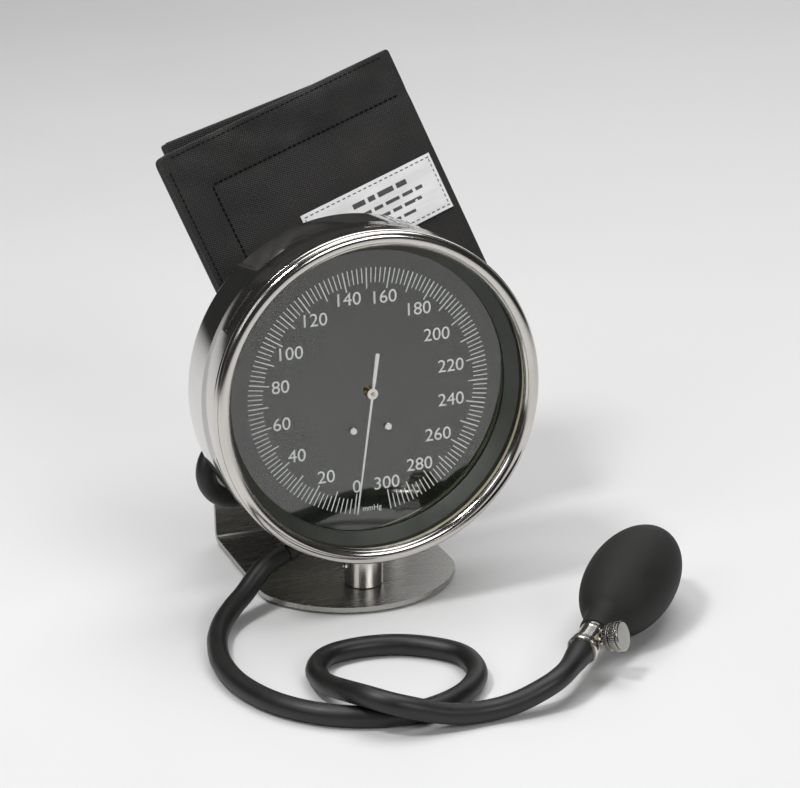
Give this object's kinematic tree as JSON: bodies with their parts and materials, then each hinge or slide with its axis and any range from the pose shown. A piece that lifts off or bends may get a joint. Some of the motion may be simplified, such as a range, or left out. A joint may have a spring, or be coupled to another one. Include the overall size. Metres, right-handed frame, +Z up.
{
  "type": "desk blood pressure monitor",
  "caption": "Large-dial aneroid blood pressure monitor on a bent plate stand, with a folded upper arm cuff, rubber hoses and a hand bulb with a release valve.",
  "frame": {"origin": "on the surface the monitor stands on, under the pole's axis", "axes": "-Y is the side the dial faces, +X to the right as the dial is read, +Z up"},
  "size_m": [0.2353, 0.2868, 0.2375],
  "materials": {
    "base_pad": "matte",
    "base_plate": "brushed",
    "pole": "polished",
    "pole_bolt": "polished",
    "pole_set_screw": "polished",
    "cuff_tray": "brushed",
    "tray_screw_left": "polished",
    "tray_screw_right": "polished",
    "case_body": "polished",
    "bezel_ring": "polished",
    "window_glass": "clear",
    "window_gasket": "matte",
    "spacer_ring": "satin",
    "dial_plate": "matte",
    "dial_screw_left": "polished",
    "dial_screw_right": "polished",
    "pointer": "satin",
    "pointer_hub": "satin",
    "pinion_arbor": "satin",
    "movement_front_plate": "satin",
    "movement_rear_plate": "satin",
    "movement_pillar_1": "satin",
    "movement_pillar_2": "satin",
    "movement_pillar_3": "satin",
    "movement_pillar_4": "satin",
    "sector_gear": "satin",
    "sector_arbor": "polished",
    "hairspring": "polished",
    "link": "polished",
    "bell_crank": "satin",
    "crank_pin": "polished",
    "crank_ear_left": "satin",
    "crank_ear_right": "satin",
    "capsule_front": "satin",
    "capsule_rear": "satin",
    "capsule_stud": "satin",
    "pressure_pipe": "satin",
    "socket_block": "satin",
    "gauge_stem": "satin",
    "bulb_hose_nipple": "glossy",
    "cuff_hose_nipple": "glossy",
    "bulb_hose": "matte",
    "cuff_hose": "matte",
    "cuff_front_fold": "woven nylon",
    "cuff_back_fold": "woven nylon",
    "cuff_bladder": "matte",
    "cuff_label": "woven satin",
    "bulb": "matte",
    "bulb_inlet_valve": "polished",
    "inlet_ball": "polished",
    "hose_barb": "polished",
    "valve_body": "polished",
    "valve_gland": "polished",
    "valve_needle": "satin",
    "valve_knob": "polished"
  },
  "bodies": {
    "stand_and_gauge": {"base_pad": "base_pad", "base_plate": "base_plate", "pole": "pole", "pole_bolt": "pole_bolt", "pole_set_screw": "pole_set_screw", "cuff_tray": "cuff_tray", "tray_screw_left": "tray_screw_left", "tray_screw_right": "tray_screw_right", "case_body": "case_body", "bezel_ring": "bezel_ring", "window_glass": "window_glass", "window_gasket": "window_gasket", "spacer_ring": "spacer_ring", "dial_plate": "dial_plate", "dial_screw_left": "dial_screw_left", "dial_screw_right": "dial_screw_right", "movement_front_plate": "movement_front_plate", "movement_rear_plate": "movement_rear_plate", "movement_pillar_1": "movement_pillar_1", "movement_pillar_2": "movement_pillar_2", "movement_pillar_3": "movement_pillar_3", "movement_pillar_4": "movement_pillar_4", "sector_arbor": "sector_arbor", "hairspring": "hairspring", "crank_pin": "crank_pin", "crank_ear_left": "crank_ear_left", "crank_ear_right": "crank_ear_right", "capsule_rear": "capsule_rear", "capsule_stud": "capsule_stud", "pressure_pipe": "pressure_pipe", "socket_block": "socket_block", "gauge_stem": "gauge_stem", "bulb_hose_nipple": "bulb_hose_nipple", "cuff_hose_nipple": "cuff_hose_nipple", "bulb_hose": "bulb_hose", "cuff_hose": "cuff_hose", "cuff_front_fold": "cuff_front_fold", "cuff_back_fold": "cuff_back_fold", "cuff_bladder": "cuff_bladder", "cuff_label": "cuff_label", "bulb": "bulb", "bulb_inlet_valve": "bulb_inlet_valve", "hose_barb": "hose_barb", "valve_body": "valve_body", "valve_gland": "valve_gland"},
    "pointer_shaft": {"pointer": "pointer", "pointer_hub": "pointer_hub", "pinion_arbor": "pinion_arbor"},
    "sector": {"sector_gear": "sector_gear"},
    "link": {"link": "link"},
    "crank": {"bell_crank": "bell_crank"},
    "capsule_disc": {"capsule_front": "capsule_front"},
    "needle": {"valve_needle": "valve_needle"},
    "knob": {"valve_knob": "valve_knob"},
    "ball": {"inlet_ball": "inlet_ball"}
  },
  "joints": [
    {"name": "capsule_slide", "type": "slide", "parent": "stand_and_gauge", "child": "capsule_disc", "axis": [0, -0.998, 0.0628], "range_m": [0, 0.0015], "stiffness_N_per_m": 2000},
    {"name": "pointer_turn", "type": "hinge", "parent": "stand_and_gauge", "child": "pointer_shaft", "pos_m": [0, -0.0091, 0.1052], "axis": [0, 0.998, -0.0628], "range_deg": [0, 342.3]},
    {"name": "sector_turn", "type": "hinge", "parent": "stand_and_gauge", "child": "sector", "pos_m": [0, -0.00215, 0.07871], "axis": [0, 0.998, -0.0628], "range_deg": [-38.2, 0]},
    {"name": "link_slide", "type": "slide", "parent": "stand_and_gauge", "child": "link", "axis": [0, -0.0628, -0.998], "range_m": [0, 0.00265]},
    {"name": "crank_turn", "type": "hinge", "parent": "stand_and_gauge", "child": "crank", "pos_m": [0, 0.00738, 0.06458], "axis": [1, 0, 0], "range_deg": [0, 16.9]},
    {"name": "needle_slide", "type": "slide", "parent": "stand_and_gauge", "child": "needle", "axis": [0.6546, -0.6867, 0.3161], "range_m": [0, 0.00075]},
    {"name": "knob_turn", "type": "hinge", "parent": "needle", "child": "knob", "pos_m": [0.06251, -0.12302, 0.0165], "axis": [0.6546, -0.6867, 0.3161], "range_deg": [0, 540.5]},
    {"name": "inlet_ball_slide", "type": "slide", "parent": "stand_and_gauge", "child": "ball", "axis": [-0.7007, -0.7081, -0.0872], "range_m": [0, 0.0008]}
  ],
  "couplings": [
    {"joint": "pointer_turn", "follows": "capsule_slide", "rad_per_m": 3980.5},
    {"joint": "sector_turn", "follows": "capsule_slide", "rad_per_m": -442.28},
    {"joint": "link_slide", "follows": "capsule_slide", "ratio": 1.736},
    {"joint": "crank_turn", "follows": "capsule_slide", "rad_per_m": 194.31},
    {"joint": "knob_turn", "follows": "needle_slide", "rad_per_m": 12566}
  ]
}
